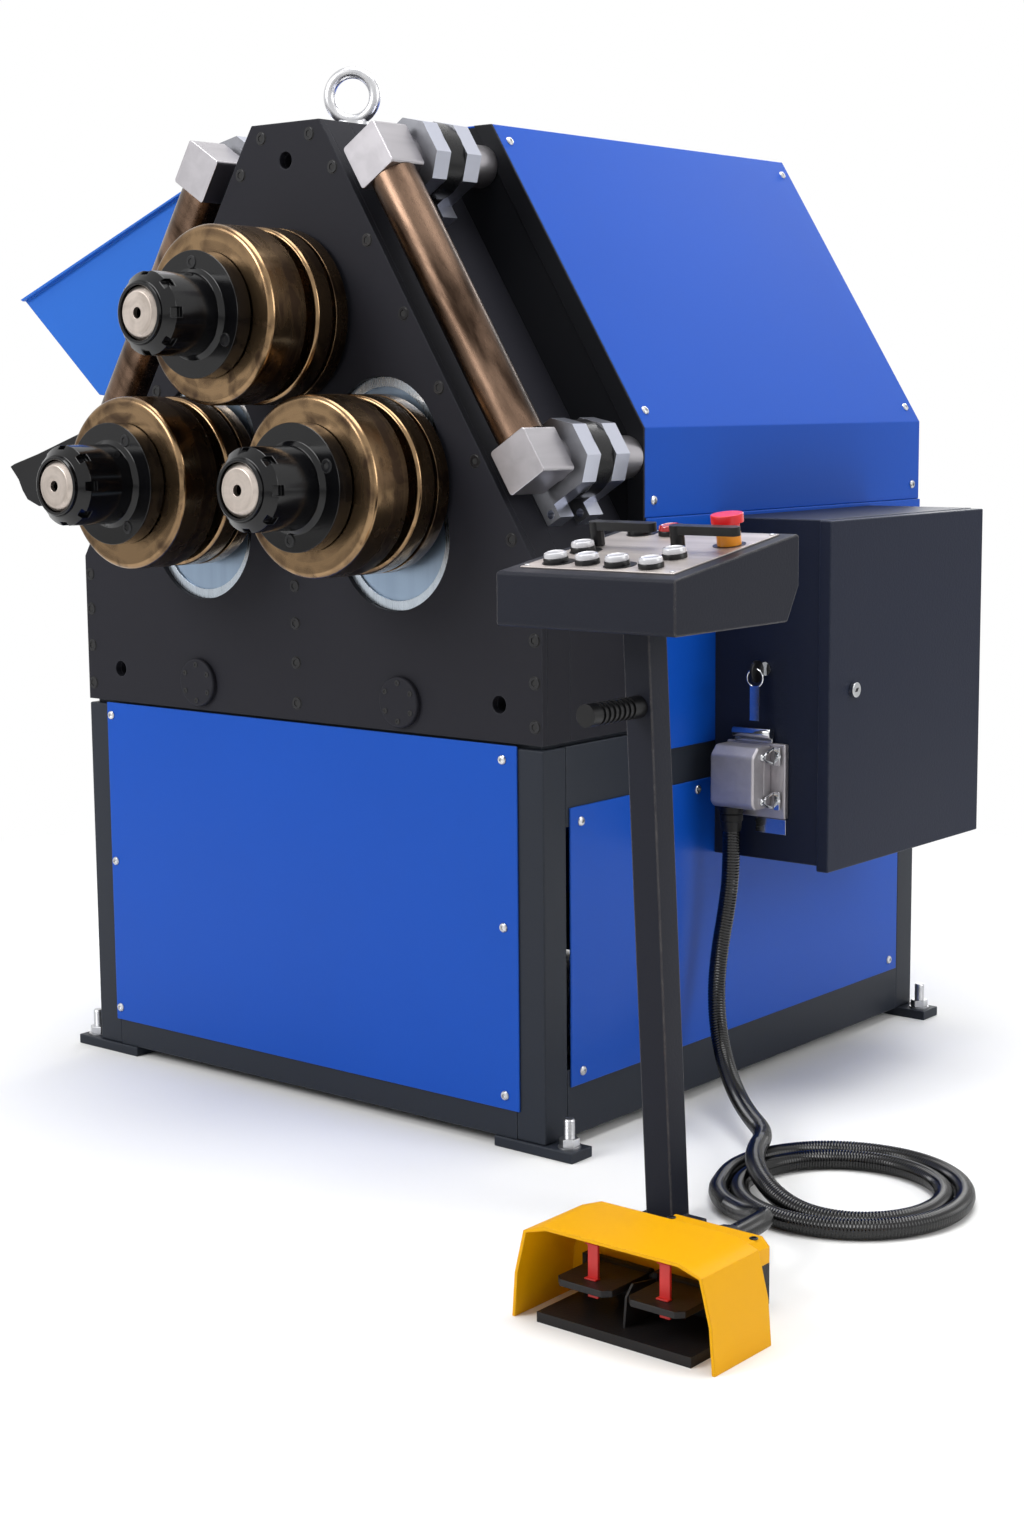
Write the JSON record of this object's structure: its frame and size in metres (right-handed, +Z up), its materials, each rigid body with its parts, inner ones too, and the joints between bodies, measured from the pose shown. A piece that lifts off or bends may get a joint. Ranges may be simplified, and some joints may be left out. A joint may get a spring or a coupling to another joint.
{
  "type": "angle roll bender",
  "caption": "Hydraulic section bending machine: driven forming rolls on a tall plate head, lower rolls on slanted slides, side guides, switch cabinet, control console and foot switch.",
  "frame": {"origin": "on the floor under the centre of the whole object's box, without the hose", "axes": "+X to the right seen from the rolls' side, +Y into the machine, +Z up"},
  "size_m": [1.913, 1.454, 1.498],
  "materials": {
    "frame_paint": "dark grey textured paint",
    "panel_blue": "blue powder coat",
    "head_paint": "dark graphite paint",
    "wall_paint": "satin black paint",
    "roll_steel": "turned and oiled steel",
    "shaft_steel": "ground steel",
    "nut_black": "glossy black oxide",
    "slide_steel": "ground steel plate",
    "liner_steel": "bright steel",
    "bar_steel": "brown oiled bar",
    "block_steel": "machined steel",
    "clamp_black": "black oxide",
    "band_rubber": "black rubber",
    "cabinet_grey": "dark grey powder coat",
    "zinc": "bright zinc",
    "connector_metal": "cast aluminium",
    "console_grey": "dark grey powder coat",
    "label_plate": "satin aluminium",
    "button_plastic": "clear caps on black rings",
    "handle_plastic": "black plastic",
    "stop_red": "red plastic",
    "stop_yellow": "yellow plastic",
    "grip_rubber": "ribbed black rubber",
    "pedal_yellow": "yellow powder coat",
    "pedal_black": "black moulded plastic",
    "flag_red": "red plastic",
    "hose_rubber": "black corrugated conduit"
  },
  "bodies": {
    "frame": {"foot_plates": "frame_paint", "levelling_studs": "zinc", "base_posts": "frame_paint", "base_rails": "frame_paint", "front_panel": "panel_blue", "base_panels": "panel_blue", "base_top_plate": "frame_paint", "head_front_plate": "head_paint", "slide_housing": "head_paint", "head_core": "head_paint", "slot_liners": "liner_steel", "pivot_caps": "head_paint", "lifting_eye": "zinc", "housing_walls": "wall_paint", "side_covers": "panel_blue", "lower_side_covers": "panel_blue", "top_cover": "panel_blue", "guard_sheet": "panel_blue", "guide_blocks": "block_steel", "guide_bars": "bar_steel", "guide_shafts": "shaft_steel", "guide_clamps": "clamp_black", "guide_bands": "band_rubber", "guide_horn": "clamp_black", "cabinet_box": "cabinet_grey", "cabinet_key": "zinc", "connector_plate": "connector_metal", "connector_hood": "connector_metal", "console_stand": "console_grey", "console_box": "console_grey", "console_panel": "label_plate", "push_buttons": "button_plastic", "stop_collar": "stop_yellow", "handle_grip": "grip_rubber", "pedal_base": "pedal_black", "pedal_hood": "pedal_yellow", "hose_tube": "hose_rubber", "hose_coil": "hose_rubber", "hose_glands": "pedal_black"},
    "upper_roll": {"upper_shaft": "shaft_steel", "upper_nut": "nut_black", "upper_rolls": "roll_steel"},
    "left_slide": {"left_slide_plate": "slide_steel"},
    "left_roll": {"left_shaft": "shaft_steel", "left_nut": "nut_black", "left_rolls": "roll_steel"},
    "right_slide": {"right_slide_plate": "slide_steel"},
    "right_roll": {"right_shaft": "shaft_steel", "right_nut": "nut_black", "right_rolls": "roll_steel"},
    "door": {"cabinet_door": "cabinet_grey", "door_lock": "zinc"},
    "left_foot_pedal": {"left_pedal": "pedal_black", "left_flag": "flag_red"},
    "right_foot_pedal": {"right_pedal": "pedal_black", "right_flag": "flag_red"},
    "left_handle": {"left_selector": "handle_plastic"},
    "right_handle": {"right_selector": "handle_plastic"},
    "stop": {"stop_button": "stop_red"}
  },
  "joints": [
    {"name": "upper_roll_turn", "type": "hinge", "parent": "frame", "child": "upper_roll", "pos_m": [-0.1, -0.362, 1.14], "axis": [0, 1, 0], "continuous": true},
    {"name": "left_roll_slide", "type": "slide", "parent": "frame", "child": "left_slide", "axis": [0.1392, 0, 0.9903], "range_m": [-0.04, 0.02]},
    {"name": "left_roll_turn", "type": "hinge", "parent": "left_slide", "child": "left_roll", "pos_m": [-0.281, -0.362, 0.909], "axis": [0, 1, 0], "continuous": true},
    {"name": "right_roll_slide", "type": "slide", "parent": "frame", "child": "right_slide", "axis": [-0.1392, 0, 0.9903], "range_m": [-0.04, 0.02]},
    {"name": "right_roll_turn", "type": "hinge", "parent": "right_slide", "child": "right_roll", "pos_m": [0.081, -0.362, 0.909], "axis": [0, 1, 0], "continuous": true},
    {"name": "cabinet_door_swing", "type": "hinge", "parent": "frame", "child": "door", "pos_m": [0.54, 0.567, 0.6035], "axis": [0, 0, 1], "range_deg": [0, 120]},
    {"name": "left_pedal_press", "type": "hinge", "parent": "frame", "child": "left_foot_pedal", "pos_m": [0.766, -0.636, 0.05], "axis": [1, 0, 0], "range_deg": [0, 8], "stiffness_Nm_per_rad": 3, "springref_deg": -11.46},
    {"name": "right_pedal_press", "type": "hinge", "parent": "frame", "child": "right_foot_pedal", "pos_m": [0.864, -0.636, 0.05], "axis": [1, 0, 0], "range_deg": [0, 8], "stiffness_Nm_per_rad": 3, "springref_deg": -11.46},
    {"name": "left_selector_turn", "type": "hinge", "parent": "frame", "child": "left_handle", "pos_m": [0.508, -0.34, 0.85933], "axis": [0, -0.1547, 0.988], "range_deg": [-45, 0]},
    {"name": "right_selector_turn", "type": "hinge", "parent": "frame", "child": "right_handle", "pos_m": [0.636, -0.348, 0.85808], "axis": [0, -0.1547, 0.988], "range_deg": [-45, 0]},
    {"name": "stop_press", "type": "slide", "parent": "frame", "child": "stop", "axis": [0, -0.1547, 0.988], "range_m": [-0.004, 0]}
  ]
}
